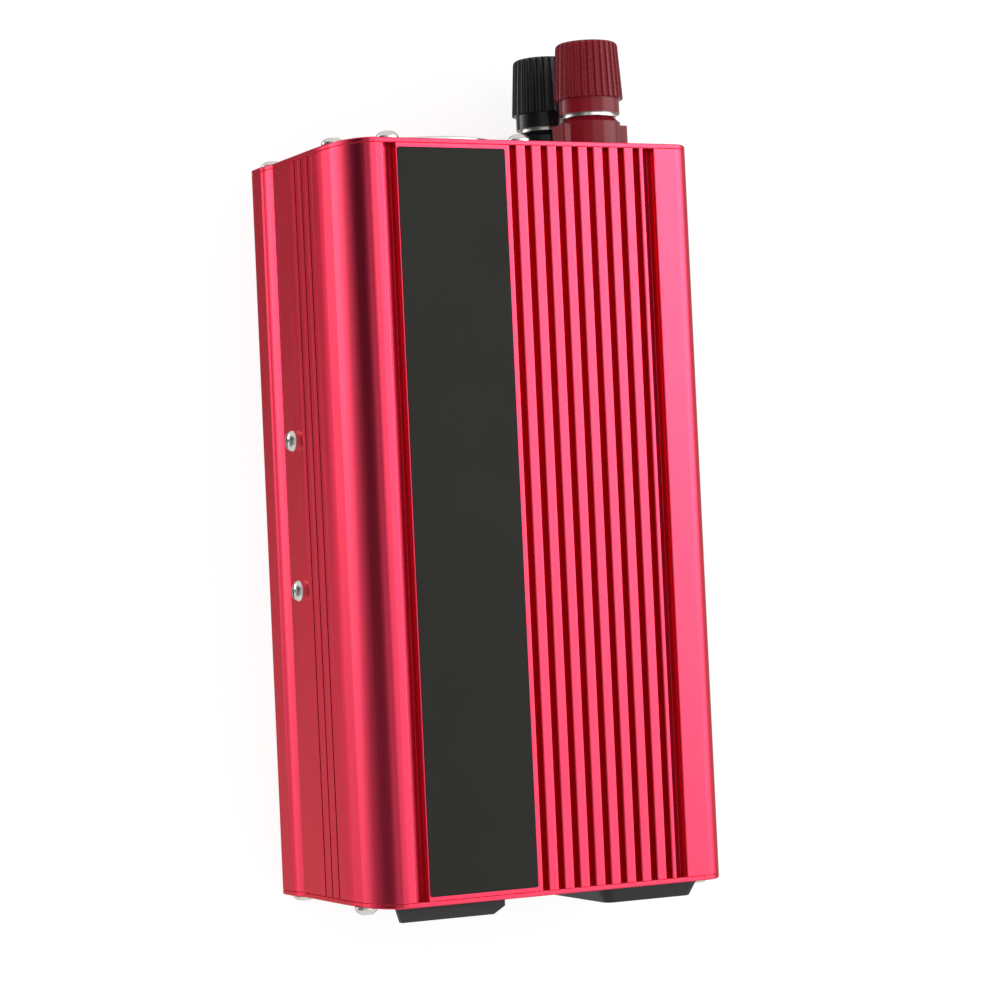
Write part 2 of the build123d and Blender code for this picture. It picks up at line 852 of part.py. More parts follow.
def fuse_blade(x, side, z_low, z_high, clearance):
    """One blade of a fuse, or its slot when a clearance is given."""
    middle = fuse_y + side * (fuse_length / 2 - fuse_blade_width / 2 - fuse_holder_wall)
    return block(x - fuse_blade_thickness / 2 - clearance, x + fuse_blade_thickness / 2 + clearance,
                 middle - fuse_blade_width / 2 - clearance, middle + fuse_blade_width / 2 + clearance,
                 z_low, z_high)


def fuse_holders():
    top = board_top + fuse_holder_height
    pieces = []
    for x in fuse_places():
        holder = block(x - fuse_width / 2 - fuse_holder_wall, x + fuse_width / 2 + fuse_holder_wall,
                       fuse_y - fuse_length / 2, fuse_y + fuse_length / 2, board_top, top)
        for side in (-1, 1):
            holder -= fuse_blade(x, side, top - fuse_blade_drop, top + cut_margin, running_clearance)
        pieces.append(holder)
    return group(pieces)


def blade_fuses():
    top = board_top + fuse_holder_height
    pieces = []
    for x in fuse_places():
        fuse = block(x - fuse_width / 2, x + fuse_width / 2, fuse_y - fuse_length / 2,
                     fuse_y + fuse_length / 2, top, top + fuse_height)
        for side in (-1, 1):
            fuse += fuse_blade(x, side, top - fuse_blade_drop, top, 0)
        pieces.append(fuse)
    return group(pieces)


def driver_board():
    return block(-driver_board_half_width, driver_board_half_width,
                 driver_board_y - board_thickness / 2, driver_board_y + board_thickness / 2,
                 board_top, board_top + driver_board_height)


def driver_chips():
    face = driver_board_y - board_thickness / 2
    low = board_top + chip_lift
    return group([block(side * chip_x - chip_length / 2, side * chip_x + chip_length / 2,
                        face - chip_thickness, face, low, low + chip_height) for side in (-1, 1)])


def buzzer():
    can = rod_z(buzzer_radius, buzzer_x, buzzer_y, board_top, board_top + buzzer_height)
    return can - rod_z(buzzer_hole_radius, buzzer_x, buzzer_y, board_top + buzzer_height / 2,
                       board_top + buzzer_height + cut_margin)


# ================================================================== fan
def fan_frame():
    low = inner_end - fan_depth
    outline = Pos(fan_x, fan_z) * (RectangleRounded(fan_size, fan_size, fan_corner_radius)
                                   - Circle(fan_bore_radius))
    for x, z in fan_corner_places():
        outline -= Pos(x, z) * Circle(fan_screw_hole)
    frame = prism_y(outline, low, inner_end)
    motor = rod_y(fan_motor_radius, fan_x, fan_z, low, low + fan_motor_base)
    for count in range(fan_arm_count):
        arm = Pos(fan_x, fan_z) * Rot(0, 0, count * 360 / fan_arm_count) * rectangle(
            0, fan_bore_radius + fan_frame_bite(), -fan_arm_width / 2, fan_arm_width / 2)
        motor += prism_y(arm, low, low + fan_motor_base)
    motor += rod_y(fan_sleeve_radius, fan_x, fan_z, low, fan_sleeve_end())
    motor -= rod_y(fan_shaft_radius + running_clearance, fan_x, fan_z,
                   low + fan_motor_base / 2, inner_end)
    return frame + motor


def fan_frame_bite():
    """How far an arm runs into the frame's wall."""
    return (fan_size / 2 - fan_bore_radius) / 2


def fan_sleeve_end():
    return rotor_face() - fan_hub_wall - fan_back_gap


def rotor_face():
    return inner_end - fan_front_gap


def fan_rotor():
    """Hub cup with its shaft and the blades around it."""
    rim = inner_end - fan_depth + fan_motor_base + fan_back_gap
    face = rotor_face()
    hub = rod_y(fan_hub_radius, fan_x, fan_z, rim, face)
    hub -= rod_y(fan_hub_radius - fan_hub_wall, fan_x, fan_z, rim, face - fan_hub_wall)
    hub += rod_y(fan_shaft_radius, fan_x, fan_z, rim - fan_back_gap, face - fan_hub_wall)
    middle_y = (rim + face) / 2
    reach = fan_tip_radius + cut_margin
    start = fan_hub_radius - fan_hub_wall / 2
    blade = Pos((start + reach) / 2, 0, 0) * Rot(fan_blade_angle, 0, 0) * Box(
        reach - start, fan_blade_thickness, fan_blade_chord)
    blades = []
    for count in range(fan_blade_count):
        turn = Rot(0, count * 360 / fan_blade_count, 0)
        blades.append(Pos(fan_x, middle_y, fan_z) * turn * blade)
    tips = rod_y(fan_tip_radius, fan_x, fan_z, rim, face)
    for piece in blades:
        hub += piece & tips
    return hub


def guard_arm(turn):
    """Cross wire from inside the smallest ring out to one eye."""
    eye_reach = math.hypot(fan_hole_half_pitch, fan_hole_half_pitch) - guard_eye_radius
    arm = rod_x(guard_arm_radius, half_length + guard_arm_lift, 0, guard_arm_start, eye_reach)
    return Pos(fan_x, 0, fan_z) * Rot(0, turn, 0) * arm


def wire_ring(ring_radius, wire_radius, underside):
    """Ring of wire around the Y axis; its lower half may be pressed a little flat."""
    low = ring_radius - wire_radius
    high = ring_radius + wire_radius
    section = ThreePointArc((low, 0), (ring_radius, wire_radius), (high, 0))
    section += EllipticalCenterArc((ring_radius, 0), wire_radius, underside, start_angle=180, arc_size=180)
    return revolve(make_face(section), Axis.Y)


def fan_guard():
    """Welded wire guard: rings, four cross wires and an eye at each screw."""
    ring_y = half_length + guard_arm_lift + guard_arm_radius + guard_wire_radius - guard_weld
    guard = guard_arm(45)
    for count in (1, 2, 3):
        guard += guard_arm(45 + 90 * count)
    for radius in guard_ring_radii:
        guard += Pos(fan_x, ring_y, fan_z) * wire_ring(radius, guard_wire_radius, guard_ring_underside)
    eye = wire_ring(guard_eye_radius, guard_eye_wire_radius, guard_eye_wire_radius)
    for x, z in fan_corner_places():
        guard += Pos(x, half_length + guard_eye_wire_radius, z) * eye
    return guard


def fan_screws():
    length = 2 * guard_eye_wire_radius + plate_thickness + fan_depth + fan_nut_height
    screw = pan_screw(screw_head_radius, screw_head_height, fan_screw_radius, length)
    seat = half_length + 2 * guard_eye_wire_radius
    return group([placed(screw, (x, seat, z), (0, 1, 0)) for x, z in fan_corner_places()])


def fan_nuts():
    nut = hexagon_nut(fan_nut_half_flats, fan_screw_radius, fan_nut_height)
    seat = inner_end - fan_depth
    return group([placed(nut, (x, seat, z), (0, -1, 0)) for x, z in fan_corner_places()])


def fan_lead():
    """Cable from the motor base down to the board."""
    start_y = inner_end - fan_depth
    top = fan_z
    points = [(fan_lead_x, start_y, top), (fan_lead_x, fan_lead_foot_y, top),
              (fan_lead_x, fan_lead_foot_y, board_top)]
    return lead(points, fan_lead_radius, fan_lead_bend)


# ================================================================== battery terminals
def post_base(z):
    """Moulded collar on the end plate, with a wing on each side."""
    top = half_length + post_base_height
    shoulder = top - post_base_chamfer_height
    bore = stud_radius + thread_clearance
    body = turned_y([(bore, half_length), (post_base_radius, half_length), (post_base_radius, shoulder),
                     (post_base_top_radius, top), (bore, top)], post_x, z)
    wing_outline = Pos(post_x, z) * RectangleRounded(2 * post_wing_half_span, post_wing_depth, post_wing_fillet)
    wing = prism_y(wing_outline, half_length, half_length + post_wing_height)
    return body + (wing - rod_y(post_base_radius / 2, post_x, z, half_length, half_length + post_wing_height))


def terminal_studs():
    low = inner_end - stud_tail
    return group([rod_y(stud_radius, post_x, z, low, half_length + stud_reach) for z in post_heights])


def clamp_washer(z):
    low = half_length + post_base_height
    ring = Pos(post_x, z) * (Circle(clamp_washer_radius) - Circle(clamp_washer_hole))
    return prism_y(ring, low, low + clamp_washer_thickness)


def knob_bottom():
    return half_length + post_base_height + clamp_washer_thickness


def flute_cutter():
    """Rod along the grip's slope; one cut by it is one flute."""
    rise = knob_grip_height
    lean = math.degrees(math.atan2(knob_bottom_radius - knob_top_radius, rise))
    low = knob_bottom() + knob_collar_height
    middle_radius = (knob_bottom_radius + knob_top_radius) / 2
    rod = Rot(90, 0, 0) * Cylinder(knob_flute_radius, rise + 2 * knob_collar_height)
    return Pos(middle_radius, low + rise / 2, 0) * Rot(0, 0, lean) * rod


def knob(z):
    """Fluted cap with a plain collar below and a closed bore for the stud."""
    bottom = knob_bottom()
    collar_top = bottom + knob_collar_height
    top = collar_top + knob_grip_height
    dish = top - knob_dish_depth
    points = [(0, bottom), (knob_collar_radius, bottom), (knob_collar_radius, collar_top),
              (knob_bottom_radius, collar_top), (knob_top_radius, top), (0, top)]
    body = revolve(make_face(Polyline(*points, close=True)), Axis.Y)
    rim = body.edges().filter_by(GeomType.CIRCLE).sort_by(Axis.Y)[-1]
    body = fillet(rim, knob_top_round)
    cutter = flute_cutter()
    cutters = [Rot(0, count * 360 / knob_flute_count, 0) * cutter for count in range(knob_flute_count)]
    body -= cutters
    cavity_top = half_length + stud_reach + knob_cavity_extra
    body -= rod_y(knob_insert_radius, 0, 0, bottom, cavity_top)
    body -= rod_y(knob_dish_radius, 0, 0, dish, top + cut_margin)
    return Pos(post_x, 0, z) * body


def knob_insert(z):
    low = knob_bottom() + knob_insert_setback
    ring = Pos(post_x, z) * (Circle(knob_insert_radius) - Circle(stud_radius + thread_clearance))
    return prism_y(ring, low, low + knob_insert_length)


def terminal_bushes():
    """Insulating bushes that carry the studs in the end plate."""
    bore = stud_radius + thread_clearance
    low = inner_end - bush_flange_thickness
    points = [(bore, low), (bush_flange_radius, low), (bush_flange_radius, inner_end),
              (bush_neck_radius, inner_end), (bush_neck_radius, half_length), (bore, half_length)]
    return group([turned_y(points, post_x, z) for z in post_heights])


def busbar_front():
    return inner_end - bush_flange_thickness


def busbar(x_middle, z):
    """Copper strip: eye on the stud, drop to the board, and foot along it."""
    front = busbar_front()
    back = front - busbar_thickness
    low_x = x_middle - busbar_width / 2
    high_x = x_middle + busbar_width / 2
    upright = Pos(post_x, z) * Circle(busbar_eye_radius)
    upright += rectangle(min(post_x, low_x), high_x, z - busbar_width / 2, z + busbar_width / 2)
    upright += rectangle(low_x, high_x, board_top, z)
    upright -= Pos(post_x, z) * Circle(stud_radius + thread_clearance)
    bar = prism_y(upright, back, front)
    return bar + block(low_x, high_x, busbar_foot_end, front, board_top, board_top + busbar_thickness)


def stud_nuts():
    nut = hexagon_nut(stud_nut_half_flats, stud_radius + thread_clearance, stud_nut_height)
    seat = busbar_front() - busbar_thickness
    return group([placed(nut, (post_x, seat, z), (0, -1, 0)) for z in post_heights])


# ================================================================== mains socket
def module_neck(side, y_low, y_high):
    outline = RectangleRounded(module_neck_width, module_neck_height, module_neck_corner)
    return prism_y(Pos(both_modules_x(side), module_middle_z) * outline, y_low, y_high)


def module_snaps(side):
    """Catches above and below the neck, behind the end plate."""
    x = both_modules_x(side)
    pieces = []
    for up in (-1, 1):
        edge = module_middle_z + up * module_neck_height / 2
        tip = edge + up * snap_reach
        pieces.append(block(x - snap_width / 2, x + snap_width / 2, -inner_end, -inner_end + snap_length,
                            min(edge, tip) - snap_reach, max(edge, tip) - snap_reach * (up + 1) / 2
                            + snap_reach * (up + 1) / 2))
    return pieces


def outline_at(side, y, width, height, corner):
    """Rounded outline across Y, at one distance along the case."""
    plane = Plane(origin=(0, y, 0), x_dir=(1, 0, 0), z_dir=(0, -1, 0))
    return plane * (Pos(both_modules_x(side), module_middle_z) * RectangleRounded(width, height, corner))


def socket_face():
    """Bevelled block of the socket outside the end plate."""
    foot = outline_at(1, -half_length, module_foot_width, module_foot_height, module_foot_corner)
    face = outline_at(1, module_face_y, module_face_width, module_face_height, module_face_corner)
    return loft([foot.face(), face.face()])


def usb_face():
    """Flat flange of the USB module with a hood over its ports."""
    outline = RectangleRounded(module_foot_width, module_foot_height, module_foot_corner)
    shape = prism_y(Pos(usb_x(), module_middle_z) * outline, -half_length - usb_flange_proud, -half_length)
    front = shape.faces().filter_by(Axis.Y).sort_by(Axis.Y)[0].outer_wire().edges()
    shape = chamfer(front, usb_flange_bevel)
    outer = usb_x() - module_foot_width / 2
    inner = usb_x() + module_foot_width / 2
    tip = -half_length - hood_proud
    hood = Polyline((outer, -half_length), (outer + hood_outer_slant, tip), (inner - hood_inner_slant, tip),
                    (inner, -half_length - hood_rim), (inner, -half_length), close=True)
    top = module_middle_z + module_foot_height / 2 - hood_from_top
    return shape + prism_z(make_face(hood), top - hood_thickness, top)


def pin_holes():
    """Holes for round, flat and slanted pins, and the earth slot, about the module's middle."""
    holes = None
    for side in (-1, 1):
        hole = Pos(socket_pin_x, side * round_pin_half_pitch) * Circle(round_pin_hole_radius)
        flat = Rectangle(flat_pin_hole_length, flat_pin_hole_width)
        hole += Pos(socket_pin_x, side * flat_pin_half_pitch) * flat
        hole += Pos(socket_pin_x, side * flat_pin_half_pitch) * Rot(0, 0, side * slanted_pin_angle) * flat
        holes = hole if holes is None else holes + hole
    earth = Rectangle(flat_pin_hole_length, flat_pin_hole_width)
    return holes + Pos(socket_pin_x - earth_pin_offset, 0) * earth


def socket_back():
    return -inner_end + socket_depth


def socket_housing():
    back = socket_back()
    housing = socket_face() + module_neck(1, -half_length, back)
    for piece in module_snaps(1):
        housing += piece
    chamber = Rectangle(module_neck_width - 2 * socket_wall, module_neck_height - 2 * socket_wall)
    middle = Pos(both_modules_x(1), module_middle_z)
    housing -= prism_y(middle * chamber, module_face_y + module_face_wall, back + cut_margin)
    return housing - prism_y(middle * pin_holes(), module_face_y - cut_margin,
                             module_face_y + module_face_wall + cut_margin)


def socket_back_cover():
    back = socket_back()
    chamber = Rectangle(module_neck_width - 2 * socket_wall, module_neck_height - 2 * socket_wall)
    cover = prism_y(Pos(both_modules_x(1), module_middle_z) * chamber, back - socket_wall, back)
    for x, z in contact_places():
        cover -= contact_tab(x, z, back - socket_wall - cut_margin, back + cut_margin)
    return cover


def contact_places():
    x = both_modules_x(1) + socket_pin_x
    return [(x, module_middle_z - flat_pin_half_pitch), (x, module_middle_z + flat_pin_half_pitch),
            (x - earth_pin_offset, module_middle_z)]


def contact_tab(x, z, y_low, y_high):
    return block(x - contact_tab_width / 2, x + contact_tab_width / 2, y_low, y_high,
                 z - contact_tab_thickness / 2, z + contact_tab_thickness / 2)


def socket_contacts():
    """Sprung brass leaves, one pair for each pin, with a tab out of the back."""
    low = module_face_y + module_face_wall + contact_face_gap
    back = socket_back() - socket_wall
    pieces = []
    for x, z in contact_places():
        clip = block(x - contact_leaf_height / 2, x + contact_leaf_height / 2, back - contact_base, back,
                     z - contact_gap - contact_leaf_thickness, z + contact_gap + contact_leaf_thickness)
        for side in (-1, 1):
            near = z + side * contact_gap
            far = near + side * contact_leaf_thickness
            clip += block(x - contact_leaf_height / 2, x + contact_leaf_height / 2, low, back,
                          min(near, far), max(near, far))
        clip += contact_tab(x, z, back, back + socket_wall + contact_tab_length)
        pieces.append(clip)
    return group(pieces)


def output_leads():
    """Wires from the socket's tabs down to the board."""
    start = socket_back() + contact_tab_length
    pieces = []
    for count, (x, z) in enumerate(contact_places()):
        foot_y = output_lead_first_y + count * output_lead_spacing
        points = [(x, start, z), (x, foot_y, z), (x, foot_y, board_top)]
        pieces.append(lead(points, output_lead_radius, output_lead_bend))
    return group(pieces)


# ================================================================== USB module
def usb_port_places():
    return [module_middle_z + side * usb_port_half_pitch for side in (1, -1)]


def usb_x():
    return both_modules_x(-1)


def usb_bezel():
    bezel = usb_face() + module_neck(-1, -half_length, -inner_end + usb_neck_depth)
    for piece in module_snaps(-1):
        bezel += piece
    for z in usb_port_places():
        hole = Rectangle(usb_shell_thickness + 2 * usb_hole_clearance,
                         usb_shell_width + 2 * usb_hole_clearance)
        bezel -= prism_y(Pos(usb_x(), z) * hole, module_face_y - cut_margin,
                         -inner_end + usb_neck_depth + cut_margin)
    return bezel


def usb_front():
    return usb_setback - usb_flange_proud - half_length


def usb_shells():
    outer = Rectangle(usb_shell_thickness, usb_shell_width)
    inner = Rectangle(usb_shell_thickness - 2 * usb_shell_wall, usb_shell_width - 2 * usb_shell_wall)
    front = usb_front()
    return group([prism_y(Pos(usb_x(), z) * (outer - inner), front, front + usb_shell_length)
                  for z in usb_port_places()])


def usb_tongues():
    """Contact tongue and rear block inside each shell."""
    inner = Rectangle(usb_shell_thickness - 2 * usb_shell_wall, usb_shell_width - 2 * usb_shell_wall)
    tongue = Rectangle(usb_tongue_thickness, usb_tongue_width)
    back = usb_front() + usb_shell_length
    pieces = []
    for z in usb_port_places():
        rear = prism_y(Pos(usb_x(), z) * inner, back - usb_rear_block, back)
        pieces.append(rear + prism_y(Pos(usb_x(), z) * tongue, usb_front() + usb_tongue_setback, back))
    return group(pieces)


def usb_board_side():
    return usb_x() + usb_shell_thickness / 2


def usb_board():
    low_y = -inner_end + usb_neck_depth
    return block(usb_board_side(), usb_board_side() + usb_board_thickness, low_y, low_y + usb_board_length,
                 module_middle_z - usb_board_height / 2, module_middle_z + usb_board_height / 2)


def usb_lead():
    start_x = usb_board_side() + usb_board_thickness
    start_y = -inner_end + usb_neck_depth + usb_board_length / 2
    points = [(start_x, start_y, usb_lead_z), (start_x + usb_lead_reach, start_y, usb_lead_z),
              (start_x + usb_lead_reach, usb_lead_foot_y, usb_lead_z),
              (start_x + usb_lead_reach, usb_lead_foot_y, board_top)]
    return lead(points, usb_lead_radius, usb_lead_bend)


# ================================================================== power switch
def switch_housing():
    back = -inner_end + switch_body_depth
    bezel = RectangleRounded(switch_bezel_width, switch_bezel_height, switch_bezel_corner)
    middle = Pos(switch_x, switch_z)
    front = -half_length - switch_bezel_proud
    housing = prism_y(middle * bezel, front, -half_length)
    housing += prism_y(middle * Rectangle(switch_body_width, switch_body_height), -half_length, back)
    well = Rectangle(switch_well_width, switch_well_height)
    housing -= prism_y(middle * well, front - cut_margin, -inner_end + switch_well_depth)
    axle_reach = rocker_width / 2 + rocker_axle_length + running_clearance
    return housing - rod_x(rocker_axle_radius + running_clearance, rocker_pivot_y, switch_z,
                           switch_x - axle_reach, switch_x + axle_reach)


def switch_rocker():
    """Rocker with stub axles, resting off with its lower end out."""
    outline = Polyline((-rocker_middle_rise, 0), (-rocker_end_rise, rocker_half_length),
                       (0, rocker_half_length), (rocker_back, rocker_back_half_length),
                       (rocker_back, -rocker_back_half_length), (0, -rocker_half_length),
                       (-rocker_end_rise, -rocker_half_length), close=True)
    rocker = prism_x(make_face(outline), -rocker_width / 2, rocker_width / 2)
    reach = rocker_width / 2 + rocker_axle_length
    rocker += rod_x(rocker_axle_radius, 0, 0, -reach, reach)
    return Pos(switch_x, rocker_pivot_y, switch_z) * Rot(-rocker_tilt, 0, 0) * rocker


def switch_tab_places():
    return [switch_z + side * switch_tab_pitch for side in (1, -1)]


def switch_terminals():
    back = -inner_end + switch_body_depth
    return group([block(switch_x - switch_tab_width / 2, switch_x + switch_tab_width / 2,
                        back, back + switch_tab_length, z - switch_tab_thickness / 2,
                        z + switch_tab_thickness / 2) for z in switch_tab_places()])


def switch_leads():
    start = -inner_end + switch_body_depth + switch_tab_length
    pieces = []
    for count, z in enumerate(switch_tab_places()):
        foot_y = switch_lead_foot_y - count * switch_lead_bend
        points = [(switch_x, start, z), (switch_x, foot_y, z), (switch_x, foot_y, board_top)]
        pieces.append(lead(points, switch_lead_radius, switch_lead_bend))
    return group(pieces)


# ================================================================== indicator lamps
def lamp_places():
    return [switch_x - lamp_half_pitch, switch_x + lamp_half_pitch]


def lamp_back():
    return -inner_end + lamp_body_length


def indicator_lamps():
    """Round-topped lamps in the end plate, each with a rim behind it and two legs to the board."""
    tip = -half_length - lamp_proud
    dome = tip + lamp_radius
    pieces = []
    for x in lamp_places():
        lamp = rod_y(lamp_radius, x, lamp_z, dome, lamp_back())
        lamp += Pos(x, dome, lamp_z) * Sphere(lamp_radius)
        lamp += rod_y(lamp_flange_radius, x, lamp_z, -inner_end, -inner_end + lamp_flange_length)
        for side in (-1, 1):
            wire_x = x + side * lamp_wire_half_pitch
            points = [(wire_x, lamp_back(), lamp_z), (wire_x, lamp_wire_foot_y, lamp_z),
                      (wire_x, lamp_wire_foot_y, board_top)]
            lamp += lead(points, lamp_wire_radius, lamp_wire_bend)
        pieces.append(lamp)
    return group(pieces)


# ================================================================== leads
def connecting_leads():
    """Insulated leads from the fan, the socket, the USB board and the switch to the main board."""
    return group([fan_lead(), output_leads(), usb_lead(), switch_leads()])


# ================================================================== all the nodes
def build_nodes():
    red, black = post_heights
    nodes = {
        "upper_case": upper_case(),
        "base_shell": base_shell(),
        "fan_end_plate": fan_end_plate(),
        "socket_end_plate": socket_end_plate(),
        "fan_end_screws": end_screws(half_length, 1, fan_end_screw_head_height,
                                     fan_end_screw_head_height),
        "socket_end_screws": end_screws(-half_length, -1, screw_head_height, low_screw_head_height),
        "label_plate": label_plate(),
        "power_transistors": power_transistors(),
        "insulating_pads": insulating_pads(),
        "clamp_bars": clamp_bars(),
        "clamp_screws": clamp_screws(),
        "main_circuit_board": main_circuit_board(),
        "board_standoffs": board_standoffs(),
        "board_screws": board_screws(),
        "transformer_cores": transformer_cores(),
        "transformer_bobbins": transformer_bobbins(),
        "transformer_windings": transformer_windings(),
        "input_capacitors": input_capacitors(),
        "bus_capacitor": bus_capacitor(),
        "choke_core": choke_core(),
        "choke_windings": choke_windings(),
        "fuse_holders": fuse_holders(),
        "blade_fuses": blade_fuses(),
        "driver_board": driver_board(),
        "driver_chips": driver_chips(),
        "buzzer": buzzer(),
        "fan_frame": fan_frame(),
        "fan_rotor": fan_rotor(),
        "fan_guard": fan_guard(),
        "fan_screws": fan_screws(),
        "fan_nuts": fan_nuts(),
        "connecting_leads": connecting_leads(),
        "terminal_bushes": terminal_bushes(),
        "terminal_studs": terminal_studs(),
        "positive_busbar": busbar(positive_bar_x, red),
        "negative_busbar": busbar(post_x, black),
        "stud_nuts": stud_nuts(),
        "socket_housing": socket_housing(),
        "socket_back_cover": socket_back_cover(),
        "socket_contacts": socket_contacts(),
        "usb_bezel": usb_bezel(),
        "usb_shells": usb_shells(),
        "usb_tongues": usb_tongues(),
        "usb_board": usb_board(),
        "switch_housing": switch_housing(),
        "switch_rocker": switch_rocker(),
        "switch_terminals": switch_terminals(),
        "indicator_lamps": indicator_lamps(),
    }
    for colour, z in (("red", red), ("black", black)):
        nodes[colour + "_post_base"] = post_base(z)
        nodes[colour + "_clamp_washer"] = clamp_washer(z)
        nodes[colour + "_knob"] = knob(z)
        nodes[colour + "_knob_insert"] = knob_insert(z)
    return nodes


os.makedirs("parts", exist_ok=True)
for name, shape in build_nodes().items():
    export_step(shape, "parts/" + name + ".step")
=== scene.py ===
import json
import math

import bpy
from mathutils import Matrix, Vector


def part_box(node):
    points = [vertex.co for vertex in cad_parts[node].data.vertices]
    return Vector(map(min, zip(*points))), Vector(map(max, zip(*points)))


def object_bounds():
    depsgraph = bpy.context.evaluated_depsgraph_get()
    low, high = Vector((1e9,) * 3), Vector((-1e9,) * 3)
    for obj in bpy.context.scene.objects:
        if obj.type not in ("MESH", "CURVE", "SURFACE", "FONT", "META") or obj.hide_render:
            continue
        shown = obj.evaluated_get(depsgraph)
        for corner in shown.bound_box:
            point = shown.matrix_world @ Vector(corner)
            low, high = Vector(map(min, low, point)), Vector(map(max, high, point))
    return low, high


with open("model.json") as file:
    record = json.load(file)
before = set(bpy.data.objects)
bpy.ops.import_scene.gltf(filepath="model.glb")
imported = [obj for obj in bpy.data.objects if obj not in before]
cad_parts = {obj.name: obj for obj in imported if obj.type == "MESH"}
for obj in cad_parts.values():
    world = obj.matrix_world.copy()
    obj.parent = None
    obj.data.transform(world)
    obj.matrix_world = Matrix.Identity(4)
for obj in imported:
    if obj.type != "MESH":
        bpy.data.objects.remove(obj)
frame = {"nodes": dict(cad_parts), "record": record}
cad_low, cad_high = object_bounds()
nodes = frame["nodes"]
MM = 0.001


# ------------------------------------------------------------------ node helpers
class Graph:
    """A material's nodes, with its Principled shader and the piece's own coordinates."""

    def __init__(self, name):
        self.material = bpy.data.materials.new(name)
        self.material.use_nodes = True
        self.tree = self.material.node_tree
        self.tree.nodes.clear()
        self.out = self.node("ShaderNodeOutputMaterial")
        self.shader = self.node("ShaderNodeBsdfPrincipled")
        self.link(self.shader.outputs["BSDF"], self.out.inputs["Surface"])
        self.coord = self.node("ShaderNodeTexCoord").outputs["Object"]

    def node(self, kind, **settings):
        made = self.tree.nodes.new(kind)
        for key, value in settings.items():
            setattr(made, key, value)
        return made

    def link(self, source, target):
        self.tree.links.new(source, target)

    def put(self, socket, value):
        """A number or a colour set on a socket, or another socket linked to it."""
        if isinstance(value, bpy.types.NodeSocket):
            self.link(value, socket)
        else:
            socket.default_value = value

    def stretched(self, scale):
        mapping = self.node("ShaderNodeMapping")
        mapping.inputs["Scale"].default_value = scale
        self.link(self.coord, mapping.inputs["Vector"])
        return mapping.outputs["Vector"]

    def noise(self, scale, detail=2.0, rough=0.5, stretch=None):
        texture = self.node("ShaderNodeTexNoise")
        texture.inputs["Scale"].default_value = scale
        texture.inputs["Detail"].default_value = detail
        texture.inputs["Roughness"].default_value = rough
        self.link(self.stretched(stretch) if stretch else self.coord, texture.inputs["Vector"])
        return texture.outputs["Fac"]

    def spread(self, value, low, high, to_low, to_high):
        """The value's span from low to high turned into to_low to to_high, and held beyond it."""
        ranged = self.node("ShaderNodeMapRange", clamp=True)
        self.link(value, ranged.inputs["Value"])
        for name, amount in (("From Min", low), ("From Max", high), ("To Min", to_low), ("To Max", to_high)):
            ranged.inputs[name].default_value = amount
        return ranged.outputs["Result"]

    def math(self, operation, first, second=None):
        made = self.node("ShaderNodeMath", operation=operation)
        for index, value in enumerate((first, second)):
            if value is not None:
                self.put(made.inputs[index], value)
        return made.outputs["Value"]

    def mix(self, factor, first, second, blend="MIX"):
        made = self.node("ShaderNodeMix", data_type="RGBA", blend_type=blend)
        self.put(made.inputs["Factor"], factor)
        self.put(made.inputs["A"], first)
        self.put(made.inputs["B"], second)
        return made.outputs["Result"]

    def axis(self, name):
        split = self.node("ShaderNodeSeparateXYZ")
        self.link(self.coord, split.inputs["Vector"])
        return split.outputs[name]

    def bevel(self, radius):
        made = self.node("ShaderNodeBevel", samples=4)
        made.inputs["Radius"].default_value = radius
        return made.outputs["Normal"]

    def edges(self, radius, low, high):
        """1 along sharp edges and 0 elsewhere, from how far the rounded normal leaves the true one."""
        rounded = self.bevel(radius)
        true = self.node("ShaderNodeNewGeometry").outputs["Normal"]
        dot = self.node("ShaderNodeVectorMath", operation="DOT_PRODUCT")
        self.link(rounded, dot.inputs[0])
        self.link(true, dot.inputs[1])
        return self.spread(dot.outputs["Value"], 1 - low, 1 - high, 0, 1)

    def bump(self, height, distance, strength=1.0, normal=None):
        made = self.node("ShaderNodeBump")
        made.inputs["Strength"].default_value = strength
        made.inputs["Distance"].default_value = distance
        self.link(height, made.inputs["Height"])
        if normal is not None:
            self.link(normal, made.inputs["Normal"])
        return made.outputs["Normal"]

    def finish(self, **values):
        for key, value in values.items():
            self.put(self.shader.inputs[key.replace("_", " ")], value)
        return self.material


def colour(red, green, blue):
    return (red, green, blue, 1.0)


# ------------------------------------------------------------------ materials
GROOVE_DEPTH = 3.4 * MM                 # as in the case
GROOVE_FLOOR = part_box("upper_case")[1][2] - GROOVE_DEPTH
GROOVE_REACH = 40.5 * MM                # the outermost groove wall, from the case's middle
# deep red painted as shade on the walls of the top's grooves
GROOVE_SHADE_RED = colour(0.12, 0.0, 0.004)
# pale pink for the edges: partly rubbed wear, partly a painted edge highlight
RUBBED_AND_HIGHLIGHT_RED = colour(0.95, 0.22, 0.33)


